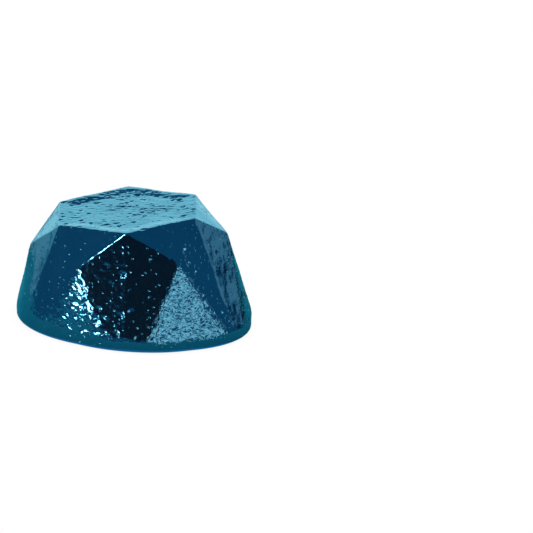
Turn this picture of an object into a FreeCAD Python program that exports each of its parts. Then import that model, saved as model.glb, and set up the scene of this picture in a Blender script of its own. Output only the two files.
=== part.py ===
import FreeCAD, Part

import math
import os

import Sketcher

# A holder for a standard cube of cue chalk. The holder is a lump of cast resin, shaped like
# a cut gem: a hexagonal table, six star facets, six kites that each have a soft ridge, six
# bowed lower facets and a low foot. It stands on its mouth. A square socket in its underside
# holds the chalk cube, which keeps the paper wrapper it is sold in.
#
# Axes: +Z up, -Y towards the front. The origin is the middle of the foot, on the table top
# that the holder stands on. Lengths are millimetres and angles are degrees.

FACETS = 6
STEP = 360.0 / FACETS
WIDE = 120.0
PAST = 40.0
GEOMETRY = {
    # chalk cube, 7/8 inch
    "chalk_side": 22.2,
    "chalk_bevel": 0.5,
    "cup_rim": 7.4,
    "cup_depth": 3.0,
    # paper wrapper, folded round four sides and the inner end
    "paper": 0.12,
    "bare_edge": 1.6,
    "lap_width": 6.0,
    # socket in the holder
    "socket_half": 11.48,
    "socket_corner": 0.6,
    "socket_depth": 22.65,
    "mouth_bevel": 0.6,
    "rib_round": 0.8,
    "rib_gap": 0.05,
    "rib_offset": 6.5,
    "rib_start": 2.0,
    # the cut gem above its foot, measured along and across its own leaning axis
    "table_radius": 18.1,
    "table_height": 26.4,
    "shoulder_radius": 22.7,
    "shoulder_height": 19.5,
    "lean_left": 6.6,
    "lean_front": 1.6,
    # foot, a hexagon with wide round corners
    "foot_apothem": 27.0,
    "foot_corner": 24.0,
    "foot_height": 2.8,
    "foot_round": 1.2,
    "blank_height": 32.0,
}
LOWER_TURNS = (-16.0, 0.0, 16.0)


def make_sheet(doc):
    """One row for each driving dimension: its name, its value and an alias."""
    sheet = doc.addObject("Spreadsheet::Sheet", "sheet")
    for row, (alias, value) in enumerate(GEOMETRY.items(), start=1):
        sheet.set("A%d" % row, alias.replace("_", " "))
        sheet.set("B%d" % row, str(value))
        sheet.setAlias("B%d" % row, alias)
    doc.recompute()
    return sheet


def new_body(doc, label):
    body = doc.addObject("PartDesign::Body", label)
    body.Label = label
    return body


def new_sketch(body, name, placement=None):
    """A sketch on the body's own XY plane, moved from it by a placement."""
    plane = next(item for item in body.Origin.OriginFeatures if item.Role == "XY_Plane")
    sketch = body.newObject("Sketcher::SketchObject", name)
    sketch.AttachmentSupport = [(plane, "")]
    sketch.MapMode = "FlatFace"
    sketch.AttachmentOffset = placement or FreeCAD.Placement()
    return sketch


def bind(sketch, constraint, name, expression):
    """Add a constraint with a name and tie it to the sheet."""
    index = sketch.addConstraint(constraint)
    sketch.renameConstraint(index, name)
    sketch.setExpression("Constraints." + name, expression)


def draw_loop(sketch, points):
    """A closed chain of straight lines with its corners joined."""
    vectors = [FreeCAD.Vector(x, y, 0) for x, y in points]
    count = len(vectors)
    for index, start in enumerate(vectors):
        sketch.addGeometry(Part.LineSegment(start, vectors[(index + 1) % count]), False)
    for index in range(count):
        sketch.addConstraint(Sketcher.Constraint("Coincident", index, 2, (index + 1) % count, 1))


def draw_square(sketch, half, expression):
    """A square round the origin, with half its side tied to the sheet."""
    draw_loop(sketch, [(-half, -half), (half, -half), (half, half), (-half, half)])
    for line in (0, 2):
        sketch.addConstraint(Sketcher.Constraint("Horizontal", line))
    for line in (1, 3):
        sketch.addConstraint(Sketcher.Constraint("Vertical", line))
    sketch.addConstraint(Sketcher.Constraint("Symmetric", 0, 1, 2, 1, -1, 1))
    bind(sketch, Sketcher.Constraint("DistanceX", 0, 1, 0, 2, 2 * half), "wide", "2 * " + expression)
    bind(sketch, Sketcher.Constraint("DistanceY", 1, 1, 1, 2, 2 * half), "deep", "2 * " + expression)


def extrude(body, kind, name, sketch, expression, reverse=False, middle=False):
    """Pad or pocket a sketch by a length tied to the sheet."""
    feature = body.newObject("PartDesign::" + kind, name)
    feature.Profile = sketch
    feature.Reversed = reverse
    if middle:
        feature.Midplane = True
    feature.setExpression("Length", expression)
    sketch.Visibility = False
    return feature


def pattern(body, name, feature, sketch):
    """Repeat a facet round the gem's axis, which is the upright axis of its sketch."""
    turns = body.newObject("PartDesign::PolarPattern", name)
    turns.Originals = [feature]
    turns.Axis = (sketch, ["V_Axis"])
    turns.Angle = 360.0
    turns.Occurrences = FACETS
    body.Tip = turns
    return turns


def lean_rotation(sheet):
    """The gem's axis leans to the left and a little to the front of its foot."""
    left = FreeCAD.Rotation(FreeCAD.Vector(0, 1, 0), -sheet.get("lean_left"))
    front = FreeCAD.Rotation(FreeCAD.Vector(1, 0, 0), sheet.get("lean_front"))
    return front * left


def upright_plane(azimuth, lean=None):
    """An upright sketch plane through the axis. Azimuth 0 is the front, 90 the right."""
    turn = FreeCAD.Rotation(FreeCAD.Vector(0, 0, 1), azimuth - 90.0)
    stand = FreeCAD.Rotation(FreeCAD.Vector(1, 0, 0), 90.0)
    turned = turn * stand
    return FreeCAD.Placement(FreeCAD.Vector(), lean * turned if lean else turned)


def outward(azimuth):
    """The level direction from the axis at an azimuth."""
    angle = math.radians(azimuth)
    return FreeCAD.Vector(math.sin(angle), -math.cos(angle), 0)


def corner_point(sheet, ring, azimuth):
    """A point of the table or shoulder ring, after the lean."""
    point = outward(azimuth) * sheet.get(ring + "_radius")
    point.z = sheet.get(ring + "_height")
    return lean_rotation(sheet).multVec(point)


def foot_reach(sheet, azimuth):
    """How far out the foot's round-cornered hexagon reaches in one direction."""
    off = (azimuth + STEP / 2) % STEP - STEP / 2
    corner = sheet.get("foot_corner")
    arm = (sheet.get("foot_apothem") - corner) / math.cos(math.radians(STEP / 2))
    return corner + arm * math.cos(math.radians(off))


def cut_profile(body, name, placement, top, bottom):
    """A pocket that takes away all that lies outside the plane through two profile points.

    The plane is carried on past the blank, up to PAST over the foot and down to PAST under it.
    """
    sketch = new_sketch(body, name + "_profile", placement)
    slope = (bottom[0] - top[0]) / (top[1] - bottom[1])
    rise = PAST - top[1]
    drop = bottom[1] + PAST
    start = (top[0] - slope * rise, top[1] + rise)
    end = (bottom[0] + slope * drop, bottom[1] - drop)
    draw_loop(sketch, [start, top, bottom, end, (WIDE, end[1]), (WIDE, start[1])])
    sketch.addConstraint(Sketcher.Constraint("Parallel", 0, 1))
    sketch.addConstraint(Sketcher.Constraint("Parallel", 1, 2))
    return extrude(body, "Pocket", name, sketch, "%f" % (2 * WIDE), middle=True), sketch


def cut_stars(body, sheet):
    """Six facets from the table's edges down to the shoulder points, by a polar pattern."""
    half = STEP / 2
    squeeze = math.cos(math.radians(half))
    top = (squeeze * sheet.get("table_radius"), sheet.get("table_height"))
    bottom = (sheet.get("shoulder_radius"), sheet.get("shoulder_height"))
    pocket, sketch = cut_profile(body, "star", upright_plane(half, lean_rotation(sheet)), top, bottom)
    bind(sketch, Sketcher.Constraint("DistanceX", -1, 1, 1, 1, top[0]), "table_side",
         "cos(%f deg) * sheet.table_radius" % half)
    bind(sketch, Sketcher.Constraint("DistanceY", -1, 1, 1, 1, top[1]), "table_level",
         "sheet.table_height")
    bind(sketch, Sketcher.Constraint("DistanceX", -1, 1, 1, 2, bottom[0]), "shoulder_reach",
         "sheet.shoulder_radius")
    bind(sketch, Sketcher.Constraint("DistanceY", -1, 1, 1, 2, bottom[1]), "shoulder_level",
         "sheet.shoulder_height")
    pattern(body, "stars", pocket, sketch)


def cut_to_foot(body, sheet, name, azimuth, corner):
    """A facet through one upper corner that just touches the top of the foot."""
    top = (corner.dot(outward(azimuth)), corner.z)
    bottom = (foot_reach(sheet, azimuth), sheet.get("foot_height"))
    _, sketch = cut_profile(body, name, upright_plane(azimuth), top, bottom)
    bind(sketch, Sketcher.Constraint("DistanceY", -1, 1, 1, 2, bottom[1]), "foot_top",
         "sheet.foot_height")
    for label, kind, point, value in (("foot_edge", "DistanceX", 2, bottom[0]),
                                      ("corner_out", "DistanceX", 1, top[0]),
                                      ("corner_up", "DistanceY", 1, top[1])):
        index = sketch.addConstraint(Sketcher.Constraint(kind, -1, 1, 1, point, value))
        sketch.renameConstraint(index, label)


def half_kite_azimuth(sheet, table, shoulder, inner, outer):
    """The azimuth between two limits at which one plane holds both corners and the foot."""
    level = sheet.get("foot_height")

    def miss(azimuth):
        high, low = table.dot(outward(azimuth)), shoulder.dot(outward(azimuth))
        grow = (low - high) / (table.z - shoulder.z)
        return high + grow * (table.z - level) - foot_reach(sheet, azimuth)

    for _ in range(50):
        middle = (inner + outer) / 2
        inner, outer = (middle, outer) if miss(middle) * miss(inner) > 0 else (inner, middle)
    return (inner + outer) / 2


def cut_kites(body, sheet):
    """Each kite is two half-kites with a narrow soft ridge between them."""
    for index in range(FACETS):
        azimuth = STEP * index
        table = corner_point(sheet, "table", azimuth)
        cut_to_foot(body, sheet, "ridge_%d" % index, azimuth, table)
        for side in (-1, 1):
            shoulder = corner_point(sheet, "shoulder", azimuth + side * STEP / 2)
            turned = half_kite_azimuth(sheet, table, shoulder, azimuth - side * STEP / 4,
                                       azimuth + side * STEP / 2)
            name = "kite_%d_%s" % (index, "left" if side < 0 else "right")
            cut_to_foot(body, sheet, name, turned, table)


def cut_lower_facets(body, sheet):
    """Each bowed lower facet fans out from its shoulder point to the foot."""
    for index in range(FACETS):
        azimuth = STEP * (index + 0.5)
        shoulder = corner_point(sheet, "shoulder", azimuth)
        for place_in_fan, turn in enumerate(LOWER_TURNS):
            name = "lower_%d_%d" % (index, place_in_fan)
            cut_to_foot(body, sheet, name, azimuth + turn, shoulder)


def draw_foot(sketch, sheet):
    """A regular hexagon with a corner to the front, on a construction circle."""
    radius = sheet.get("foot_apothem") / math.cos(math.radians(STEP / 2))
    angles = [math.radians(STEP * index - 90.0) for index in range(FACETS)]
    draw_loop(sketch, [(radius * math.cos(a), radius * math.sin(a)) for a in angles])
    circle = sketch.addGeometry(Part.Circle(FreeCAD.Vector(), FreeCAD.Vector(0, 0, 1), radius), True)
    sketch.addConstraint(Sketcher.Constraint("Coincident", circle, 3, -1, 1))
    for line in range(FACETS):
        sketch.addConstraint(Sketcher.Constraint("PointOnObject", line, 1, circle))
    for line in range(1, FACETS - 1):
        sketch.addConstraint(Sketcher.Constraint("Equal", 0, line))
    sketch.addConstraint(Sketcher.Constraint("PointOnObject", 0, 1, -2))
    bind(sketch, Sketcher.Constraint("Radius", circle, radius), "corner",
         "sheet.foot_apothem / cos(%f deg)" % (STEP / 2))


def edges_where(shape, test):
    """Names of the edges whose middle and direction pass a test."""
    names = []
    for index, edge in enumerate(shape.Edges, start=1):
        middle = edge.valueAt(0.5 * (edge.FirstParameter + edge.LastParameter))
        if test(edge, middle):
            names.append("Edge%d" % index)
    return names


def is_upright(edge):
    box = edge.BoundBox
    return box.XLength < 1e-6 and box.YLength < 1e-6


def dress(body, kind, name, base, names, prop, expression):
    """Fillet or chamfer the named edges of a feature."""
    feature = body.newObject("PartDesign::" + kind, name)
    feature.Base = (base, names)
    feature.setExpression(prop, expression)
    return feature


def make_holder(doc, sheet):
    body = new_body(doc, "faceted_holder")
    outline = new_sketch(body, "foot_outline")
    draw_foot(outline, sheet)
    blank = extrude(body, "Pad", "blank", outline, "sheet.blank_height")
    doc.recompute()
    upright = edges_where(blank.Shape, lambda edge, middle: is_upright(edge))
    foot = dress(body, "Fillet", "foot_corners", blank, upright, "Radius", "sheet.foot_corner")
    doc.recompute()
    rim = edges_where(foot.Shape, lambda edge, middle: abs(middle.z) < 1e-6)
    dress(body, "Fillet", "foot_edge", foot, rim, "Radius", "sheet.foot_round")

    # the table is square to the leaning axis
    table_profile = new_sketch(body, "table_profile", upright_plane(0.0, lean_rotation(sheet)))
    height = sheet.get("table_height")
    draw_loop(table_profile, [(-WIDE, height), (WIDE, height), (WIDE, WIDE), (-WIDE, WIDE)])
    table_profile.addConstraint(Sketcher.Constraint("Horizontal", 0))
    bind(table_profile, Sketcher.Constraint("DistanceY", -1, 1, 0, 1, height), "height",
         "sheet.table_height")
    extrude(body, "Pocket", "table", table_profile, "%f" % (2 * WIDE), middle=True)
    cut_stars(body, sheet)
    cut_kites(body, sheet)
    cut_lower_facets(body, sheet)
    doc.recompute()

    square = new_sketch(body, "socket_outline")
    draw_square(square, sheet.get("socket_half"), "sheet.socket_half")
    socket = extrude(body, "Pocket", "socket", square, "sheet.socket_depth", reverse=True)
    doc.recompute()
    reach = sheet.get("socket_half") + 0.01
    inside = edges_where(socket.Shape, lambda edge, middle: is_upright(edge)
                         and abs(middle.x) < reach and abs(middle.y) < reach)
    corners = dress(body, "Fillet", "socket_corners", socket, inside, "Radius",
                    "sheet.socket_corner")
    doc.recompute()
    mouth = edges_where(corners.Shape, lambda edge, middle: abs(middle.z) < 1e-6
                        and abs(middle.x) < reach and abs(middle.y) < reach)
    dress(body, "Chamfer", "mouth_bevel", corners, mouth, "Size", "sheet.mouth_bevel")
    doc.recompute()
    add_ribs(body, sheet)
    return body


def add_ribs(body, sheet):
    """Two thin upright ribs on each socket wall press lightly on the wrapper."""
    lift = FreeCAD.Placement(FreeCAD.Vector(0, 0, sheet.get("rib_start")), FreeCAD.Rotation())
    sketch = new_sketch(body, "rib_outline", lift)
    crest = "(sheet.chalk_side / 2 + sheet.paper + sheet.rib_gap + sheet.rib_round)"
    centre = sheet.get("chalk_side") / 2 + sheet.get("paper") + sheet.get("rib_gap")
    centre += sheet.get("rib_round")
    offset = sheet.get("rib_offset")
    for wall in range(4):
        for side in (-1, 1):
            angle = math.radians(90.0 * wall)
            x = centre * math.cos(angle) - side * offset * math.sin(angle)
            y = centre * math.sin(angle) + side * offset * math.cos(angle)
            circle = Part.Circle(FreeCAD.Vector(x, y, 0), FreeCAD.Vector(0, 0, 1),
                                 sheet.get("rib_round"))
            index = sketch.addGeometry(circle, False)
            name = "rib_%d_%s" % (wall, "left" if side < 0 else "right")
            along = (crest, "sheet.rib_offset") if wall % 2 == 0 else ("sheet.rib_offset", crest)
            bind(sketch, Sketcher.Constraint("Radius", index, sheet.get("rib_round")),
                 name + "_round", "sheet.rib_round")
            place(sketch, "DistanceX", index, x, name + "_x", along[0])
            place(sketch, "DistanceY", index, y, name + "_y", along[1])
    extrude(body, "Pad", "ribs", sketch, "sheet.socket_depth - sheet.rib_start")


def place(sketch, kind, index, value, name, expression):
    """Tie a circle's centre to the origin, from the side it lies on."""
    first, second = ((-1, 1), (index, 3)) if value > 0 else ((index, 3), (-1, 1))
    bind(sketch, Sketcher.Constraint(kind, *first, *second, abs(value)), name, expression)


def make_chalk(doc, sheet):
    """A pressed cube with eased edges and a shallow round cup in the face that is used."""
    body = new_body(doc, "chalk_cube")
    outline = new_sketch(body, "cube_outline")
    draw_square(outline, sheet.get("chalk_side") / 2, "sheet.chalk_side / 2")
    cube = extrude(body, "Pad", "cube", outline, "sheet.chalk_side")
    doc.recompute()
    every = ["Edge%d" % (index + 1) for index in range(len(cube.Shape.Edges))]
    dress(body, "Chamfer", "eased_edges", cube, every, "Size", "sheet.chalk_bevel")
    doc.recompute()

    stand = FreeCAD.Placement(FreeCAD.Vector(), FreeCAD.Rotation(FreeCAD.Vector(1, 0, 0), 90.0))
    sketch = new_sketch(body, "cup_profile", stand)
    rim = sheet.get("cup_rim")
    depth = sheet.get("cup_depth")
    radius = (rim ** 2 + depth ** 2) / (2 * depth)
    spread = math.asin(rim / radius)
    circle = Part.Circle(FreeCAD.Vector(0, depth - radius, 0), FreeCAD.Vector(0, 0, 1), radius)
    up = math.pi / 2
    sketch.addGeometry(Part.ArcOfCircle(circle, up - spread, up), False)
    sketch.addGeometry(Part.LineSegment(FreeCAD.Vector(0, depth, 0), FreeCAD.Vector()), False)
    sketch.addGeometry(Part.LineSegment(FreeCAD.Vector(), FreeCAD.Vector(rim, 0, 0)), False)
    for first, second in (((0, 2), (1, 1)), ((1, 2), (2, 1)), ((2, 2), (0, 1))):
        sketch.addConstraint(Sketcher.Constraint("Coincident", *first, *second))
    sketch.addConstraint(Sketcher.Constraint("PointOnObject", 0, 3, -2))
    sketch.addConstraint(Sketcher.Constraint("Coincident", 1, 2, -1, 1))
    sketch.addConstraint(Sketcher.Constraint("Vertical", 1))
    sketch.addConstraint(Sketcher.Constraint("Horizontal", 2))
    bind(sketch, Sketcher.Constraint("DistanceY", 1, 2, 1, 1, depth), "depth", "sheet.cup_depth")
    bind(sketch, Sketcher.Constraint("DistanceX", 2, 1, 2, 2, rim), "rim", "sheet.cup_rim")
    cup = body.newObject("PartDesign::Groove", "cup")
    cup.Profile = sketch
    cup.ReferenceAxis = (sketch, ["V_Axis"])
    cup.Angle = 360.0
    return body


def make_wrapper(doc, sheet):
    """Thin paper round four sides and across the inner end, lapped on the front side."""
    body = new_body(doc, "paper_wrapper")
    start = FreeCAD.Vector(0, 0, sheet.get("bare_edge"))
    lift = FreeCAD.Placement(start, FreeCAD.Rotation())
    outer = new_sketch(body, "outer_outline", lift)
    half = sheet.get("chalk_side") / 2
    draw_square(outer, half + sheet.get("paper"), "(sheet.chalk_side / 2 + sheet.paper)")
    extrude(body, "Pad", "sleeve", outer, "sheet.chalk_side + sheet.paper - sheet.bare_edge")
    lap = new_sketch(body, "lap_outline", lift)
    reach = sheet.get("lap_width") / 2
    front = -(half + 2 * sheet.get("paper"))
    draw_loop(lap, [(-reach, front), (reach, front), (reach, -half), (-reach, -half)])
    for line in (0, 2):
        lap.addConstraint(Sketcher.Constraint("Horizontal", line))
    for line in (1, 3):
        lap.addConstraint(Sketcher.Constraint("Vertical", line))
    bind(lap, Sketcher.Constraint("DistanceX", 0, 1, -1, 1, reach), "lap_left", "sheet.lap_width / 2")
    bind(lap, Sketcher.Constraint("DistanceX", -1, 1, 0, 2, reach), "lap_right", "sheet.lap_width / 2")
    bind(lap, Sketcher.Constraint("DistanceY", 0, 1, -1, 1, -front), "lap_front",
         "sheet.chalk_side / 2 + 2 * sheet.paper")
    bind(lap, Sketcher.Constraint("DistanceY", 2, 1, -1, 1, half), "lap_back", "sheet.chalk_side / 2")
    extrude(body, "Pad", "lap", lap, "sheet.chalk_side + sheet.paper - sheet.bare_edge")
    inner = new_sketch(body, "inner_outline", lift)
    draw_square(inner, half, "sheet.chalk_side / 2")
    extrude(body, "Pocket", "inside", inner, "sheet.chalk_side - sheet.bare_edge", reverse=True)
    return body


def check(doc, bodies):
    for item in doc.Objects:
        bad = [word for word in item.State if word in ("Invalid", "Error")]
        if bad:
            raise RuntimeError("%s is %s" % (item.Label, bad))
    for body in bodies:
        shape = body.Shape
        if shape.isNull() or not shape.isValid() or len(shape.Solids) != 1:
            raise RuntimeError("%s is not one valid solid" % body.Label)
        box = shape.BoundBox
        print("%s: volume %.1f mm3, x %.2f..%.2f, y %.2f..%.2f, z %.2f..%.2f"
              % (body.Label, shape.Volume, box.XMin, box.XMax, box.YMin, box.YMax,
                 box.ZMin, box.ZMax))


def main():
    doc = FreeCAD.newDocument("chalk_holder")
    sheet = make_sheet(doc)
    bodies = [make_holder(doc, sheet), make_chalk(doc, sheet), make_wrapper(doc, sheet)]
    doc.recompute()
    check(doc, bodies)
    os.makedirs("parts", exist_ok=True)
    for body in bodies:
        body.Shape.exportStep("parts/%s.step" % body.Label)


main()
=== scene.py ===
import math

import bpy
import numpy as np
from bpy.props import FloatProperty, FloatVectorProperty, IntProperty, PointerProperty
from mathutils import Matrix, Quaternion, Vector


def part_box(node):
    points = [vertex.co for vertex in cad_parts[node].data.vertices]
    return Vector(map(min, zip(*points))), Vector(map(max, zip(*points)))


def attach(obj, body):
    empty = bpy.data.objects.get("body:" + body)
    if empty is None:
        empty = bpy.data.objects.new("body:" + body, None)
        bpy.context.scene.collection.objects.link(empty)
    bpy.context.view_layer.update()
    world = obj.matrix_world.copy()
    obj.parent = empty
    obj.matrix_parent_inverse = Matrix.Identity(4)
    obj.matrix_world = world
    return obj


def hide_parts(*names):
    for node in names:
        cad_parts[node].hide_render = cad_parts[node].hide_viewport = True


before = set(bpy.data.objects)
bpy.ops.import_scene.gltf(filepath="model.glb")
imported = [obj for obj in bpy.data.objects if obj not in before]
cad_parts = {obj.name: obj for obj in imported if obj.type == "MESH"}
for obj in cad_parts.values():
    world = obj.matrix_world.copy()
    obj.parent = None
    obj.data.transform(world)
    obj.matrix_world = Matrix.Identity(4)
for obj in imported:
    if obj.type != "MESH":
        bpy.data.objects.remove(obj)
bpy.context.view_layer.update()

bl_info = {
    "name": "Cue chalk in a gem-cut holder",
    "version": (1, 0, 0),
    "blender": (4, 5, 0),
    "location": "View3D > Sidebar > Cue chalk",
    "description": "Cast gem-cut holder, pressed chalk cube and paper wrapper round the packed frame",
    "category": "Object",
}

# Surfaces are worked out in millimetres, and a mesh is written in metres. Azimuth 0 is the
# front (-Y), 90 degrees is the right (+X), and every closed grid has its columns at azimuths.
MM = 0.001
FACETS = 6
STEP = 2 * math.pi / FACETS

# Planes of the gem: three for each kite, and a fan of them for each bowed lower facet.
KITE_PLANES = 3
FANS = 9
FAN_SPREAD = 21.0
PLANES_PER_CORNER = KITE_PLANES + FANS

# The holder's grid, and the height of the point that its rays start from.
CRINKLE = "crinkle"
GEM_COLUMNS = 480
GEM_ROWS = 166
CORE = 7.0


def srgb(text):
    """Linear red, green and blue of an sRGB hex colour."""
    parts = np.array([int(text[i:i + 2], 16) for i in (1, 3, 5)]) / 255.0
    linear = np.where(parts <= 0.04045, parts / 12.92, ((parts + 0.055) / 1.055) ** 2.4)
    return tuple(float(part) for part in linear)


def length(title, text, millimetres):
    """A length property that is shown in the scene's units."""
    return FloatProperty(name=title, description=text, default=millimetres * MM, min=0.0,
                         unit="LENGTH", subtype="DISTANCE")


def colour(title, text, code):
    """A colour property whose default is an sRGB hex colour."""
    return FloatVectorProperty(name=title, description=text, default=srgb(code), min=0.0,
                               max=1.0, size=3, subtype="COLOR")


def angle(title, text, degrees):
    """An angle property."""
    return FloatProperty(name=title, description=text, default=math.radians(degrees),
                         subtype="ANGLE", unit="ROTATION")


class HolderSizes(bpy.types.PropertyGroup):
    table_radius: length("Table radius", "Middle of the top facet to one of its corners", 18.1)
    table_height: length("Table height", "Top facet above the foot's underside", 26.4)
    shoulder_radius: length("Shoulder radius", "Axis to the points between the kites", 22.7)
    shoulder_height: length("Shoulder height", "Those points above the foot's underside", 19.5)
    lean_left: angle("Lean to the left", "Lean of the gem over its foot", 6.6)
    lean_front: angle("Lean to the front", "Lean of the gem over its foot", 1.6)
    foot_apothem: length("Foot half width", "Axis to a flat side of the foot", 27.0)
    foot_corner: length("Foot corner", "Radius of the foot's corners", 24.0)
    foot_height: length("Foot height", "Where the facets meet the foot", 2.8)
    foot_round: length("Foot edge", "Radius of the foot's lower edge", 1.2)
    foot_ease: length("Foot ease", "The same where the facets run into the foot", 0.15)
    edge_ease: length("Edge ease", "How far a softened edge sits inside a sharp one", 0.035)
    table_dish: length("Table dish", "How far the middle of the top facet sank as it set", 0.35)
    swell: length("Swell", "Height of the slow waves in the facets", 0.09)
    ripple: length("Ripple", "Height of the short waves in the facets", 0.028)
    pit_depth: length("Pit depth", "Depth of the largest pits", 0.22)
    pits: IntProperty(name="Pits", description="How many pits the skin has", default=700, min=0)
    socket_half: length("Socket half width", "Axis to a wall of the socket", 11.48)
    socket_corner: length("Socket corner", "Radius of the socket's corners", 0.6)
    socket_depth: length("Socket depth", "Height of the socket's roof", 22.65)
    mouth_bevel: length("Mouth bevel", "Bevel round the socket's mouth", 0.6)
    rib_round: length("Rib radius", "Radius of the ribs that grip the wrapper", 0.8)
    rib_crest: length("Rib crest", "Axis to the tops of the ribs", 11.27)
    rib_offset: length("Rib offset", "Middle of a wall to each of its two ribs", 6.5)
    rib_start: length("Rib start", "Where the ribs begin above the mouth", 2.0)


class ChalkSizes(bpy.types.PropertyGroup):
    corner: length("Corner", "Radius of the cube's edges", 0.55)
    cup_rim: length("Cup radius", "Radius of the cup's rim", 7.4)
    cup_depth: length("Cup depth", "Depth of the cup", 3.0)
    grain: length("Grain", "Height of the pressed powder's grain", 0.03)
    chip: length("Chip", "Depth of the chips along the bare edges", 0.3)


class WrapperSizes(bpy.types.PropertyGroup):
    thickness: length("Paper", "Thickness of the paper", 0.12)
    fold: length("Fold", "Radius of the paper's folds", 0.4)
    lap: length("Lap", "Width of the glued lap", 6.0)


class Finishes(bpy.types.PropertyGroup):
    resin: colour("Resin", "Pearl pigment of the cast holder", "#5896A7")
    resin_deep: colour("Deep resin", "Thicker, darker places of the casting", "#3D7F97")
    chalk: colour("Chalk", "Pressed chalk", "#4E93AE")
    chalk_dust: colour("Chalk dust", "Loose powder on the chalk", "#8FC0D0")
    paper: colour("Paper", "Blank wrapper", "#E6E4DA")
    paper_dust: colour("Dusty paper", "Wrapper where chalk has rubbed off on it", "#9DBFC8")


# ---------------------------------------------------------------- shapes on a grid


def outward(azimuth):
    """Level unit vectors at azimuths: (sin a, -cos a, 0)."""
    azimuth = np.asarray(azimuth, float)
    return np.stack([np.sin(azimuth), -np.cos(azimuth), np.zeros_like(azimuth)], axis=-1)


def smooth(low, high, value):
    """0 below low and 1 above high, with an S-shaped cubic between: 3 t^2 - 2 t^3."""
    share = np.clip((value - low) / (high - low), 0.0, 1.0)
    return share * share * (3.0 - 2.0 * share)


def waves(points, wavelength, seed, count=28, stretch=(1.0, 1.0, 1.0)):
    """A smooth random field of about -1 to 1: the mean of plane waves with random headings.

    Each wave is sin(k . p + phase), its wavelength within a third of the one asked for, and
    stretch divides the coordinates first, which draws the field out along an axis.
    """
    draw = np.random.default_rng(seed)
    heading = draw.normal(size=(count, 3))
    heading /= np.linalg.norm(heading, axis=1, keepdims=True)
    pace = 2 * math.pi / (wavelength * draw.uniform(0.67, 1.33, size=(count, 1)))
    phase = draw.uniform(0.0, 2 * math.pi, size=count)
    turns = (points / np.array(stretch)) @ (heading * pace).T + phase
    return np.sin(turns).sum(axis=-1) * math.sqrt(2.0 / count) / 2.0


def closed_grid(name, rows, material):
    """A closed mesh of a grid of rows and wrapped columns, in mm.

    The first and last rows are single points, the poles. With azimuth growing along a row and
    the rows going down the outside, every face points outwards.
    """
    count, columns = rows.shape[0] - 2, rows.shape[1]
    points = np.concatenate([rows[0, :1], rows[1:-1].reshape(-1, 3), rows[-1, :1]]) * MM
    near = np.arange(columns)
    ahead = (near + 1) % columns
    ring = 1 + columns * np.arange(count - 1)[:, None]
    quads = np.stack([ring + near, ring + columns + near, ring + columns + ahead, ring + ahead],
                     axis=-1).reshape(-1, 4)
    last = 1 + columns * (count - 1)
    top = np.stack([np.zeros_like(near), 1 + near, 1 + ahead], axis=-1)
    bottom = np.stack([last + near, np.full_like(near, last + columns), last + ahead], axis=-1)
    mesh = bpy.data.meshes.new(name)
    loops = np.concatenate([quads.ravel(), top.ravel(), bottom.ravel()])
    starts = np.concatenate([4 * np.arange(len(quads)),
                             4 * len(quads) + 3 * np.arange(2 * columns)])
    mesh.vertices.add(len(points))
    mesh.vertices.foreach_set("co", points.astype(np.float32).ravel())
    mesh.loops.add(len(loops))
    mesh.loops.foreach_set("vertex_index", loops.astype(np.int32))
    mesh.polygons.add(len(starts))
    mesh.polygons.foreach_set("loop_start", starts.astype(np.int32))
    mesh.update(calc_edges=True)
    mesh.polygons.foreach_set("use_smooth", np.ones(len(starts), bool))
    mesh.validate()
    mesh.materials.append(material)
    piece = bpy.data.objects.new(name, mesh)
    bpy.context.scene.collection.objects.link(piece)
    return piece


def store(piece, name, rows):
    """Keep one number for each point of a closed grid as an attribute of its mesh."""
    values = np.concatenate([rows[0, :1], rows[1:-1].ravel(), rows[-1, :1]])
    attribute = piece.data.attributes.new(name, "FLOAT", "POINT")
    attribute.data.foreach_set("value", values.astype(np.float32))


def soften(field, passes):
    """Average each number of a wrapped grid with its four neighbours, a few times over."""
    for _ in range(passes):
        above, below = np.roll(field, 1, axis=0), np.roll(field, -1, axis=0)
        above[0], below[-1] = field[0], field[-1]
        field = (2 * field + above + below + np.roll(field, 1, 1) + np.roll(field, -1, 1)) / 6
    return field


def grid_normals(rows):
    """Unit normals of a grid: the cross product of its two central differences."""
    down = np.gradient(rows, axis=0)
    across = np.roll(rows, -1, axis=1) - np.roll(rows, 1, axis=1)
    normals = np.cross(down, across)
    size = np.linalg.norm(normals, axis=-1, keepdims=True)
    normals = normals / np.maximum(size, 1e-12)
    normals[0] = normals[1].mean(axis=0)
    return normals / np.maximum(np.linalg.norm(normals, axis=-1, keepdims=True), 1e-12)


def square_reach(azimuth, half, corner):
    """Distance from the axis to a square with round corners, along level directions.

    A ray meets the flat at half / max(|sin a|, |cos a|). Where that point lies past the start
    of a corner, it is carried in to the far side of the corner's circle.
    """
    ray = np.abs(outward(azimuth)[..., :2])
    flat = half / ray.max(axis=-1)
    centre = half - corner
    in_corner = (ray * flat[..., None]).min(axis=-1) > centre
    along = ray.sum(axis=-1) * centre
    inside = np.maximum(along ** 2 - 2 * centre ** 2 + corner ** 2, 0.0)
    return np.where(in_corner, along + np.sqrt(inside), flat)


def level_ring(azimuth, reach, height):
    """Points at a distance from the axis and a height, one for each azimuth."""
    ring = outward(azimuth) * np.asarray(reach)[..., None]
    ring[..., 2] = height
    return ring


# ---------------------------------------------------------------- the cast holder


def in_mm(group):
    """The lengths of a property group in mm, its angles and counts as they are."""
    values = {}
    for key in group.__annotations__:
        value = getattr(group, key)
        unit = group.bl_rna.properties[key].unit
        values[key] = value / MM if unit == "LENGTH" else value
    return values


def lean_matrix(size):
    """The gem's axis leans to the left, then a little to the front."""
    front = Matrix.Rotation(size["lean_front"], 3, "X")
    left = Matrix.Rotation(-size["lean_left"], 3, "Y")
    return np.array(front @ left)


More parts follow.
